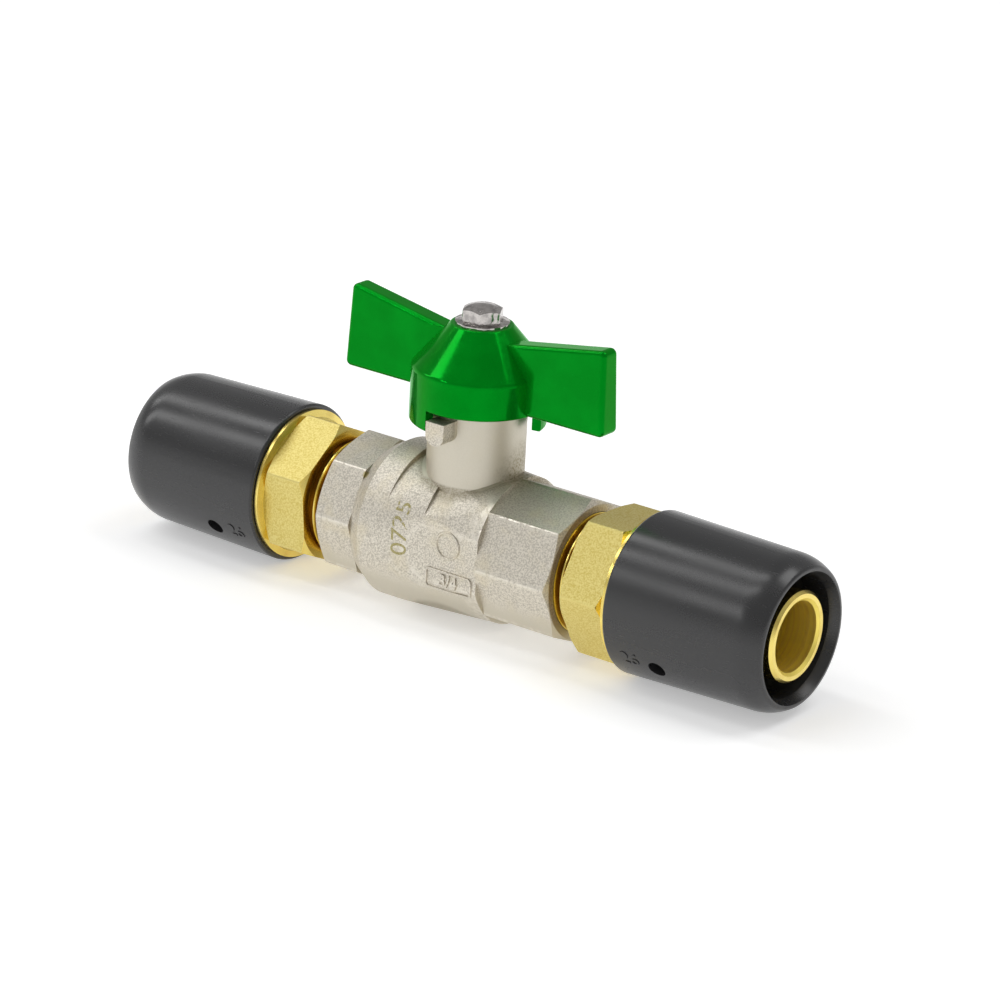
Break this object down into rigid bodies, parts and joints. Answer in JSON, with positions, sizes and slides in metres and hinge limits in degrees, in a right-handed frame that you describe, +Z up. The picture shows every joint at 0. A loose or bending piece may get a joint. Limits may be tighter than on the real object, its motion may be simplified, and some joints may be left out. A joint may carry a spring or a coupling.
{
  "type": "isolating valve",
  "caption": "Quarter-turn ball valve with a two-winged lever and a push-fit pipe coupling in a black sleeve on each end.",
  "frame": {"origin": "crossing of the pipe axis and the stem axis, which is the centre of the ball", "axes": "+X along the pipe towards the body's one-piece end, +Z up the stem to the lever, -Y the side of the stop lug"},
  "size_m": [0.1684, 0.0352, 0.0696],
  "materials": {
    "nickel": "nickel plated over a shot-blasted forging, satin",
    "brass": "bare turned brass, polished",
    "green_paint": "gloss green paint on cast aluminium",
    "stainless": "polished stainless steel",
    "sleeve_plastic": "satin black moulding",
    "ring_plastic": "satin black moulding",
    "seal": "satin black rubber",
    "seat_white": "white PTFE, satin",
    "chrome_ball": "hard chromed brass, polished"
  },
  "bodies": {
    "fixed": {"valve_body": "nickel", "end_connector": "nickel", "connector_o_ring": "seal", "seat_ring_left": "seat_white", "seat_ring_right": "seat_white", "adapter_left": "brass", "adapter_right": "brass", "base_ring_left": "ring_plastic", "base_ring_right": "ring_plastic", "stub_o_ring_left_inner": "seal", "stub_o_ring_left_outer": "seal", "stub_o_ring_right_inner": "seal", "stub_o_ring_right_outer": "seal", "spacer_ring_left": "ring_plastic", "spacer_ring_right": "ring_plastic", "grip_ring_left": "ring_plastic", "grip_ring_right": "ring_plastic", "sleeve_left": "sleeve_plastic", "sleeve_right": "sleeve_plastic"},
    "turning": {"handle": "green_paint", "handle_screw": "stainless", "stem": "brass", "stem_o_ring_lower": "seal", "stem_o_ring_upper": "seal", "stem_washer": "seat_white", "ball": "chrome_ball"}
  },
  "joints": [
    {"name": "handle_turn", "type": "hinge", "parent": "fixed", "child": "turning", "pos_m": [0, 0, 0], "axis": [0, 0, 1], "range_deg": [-90, 0]}
  ]
}
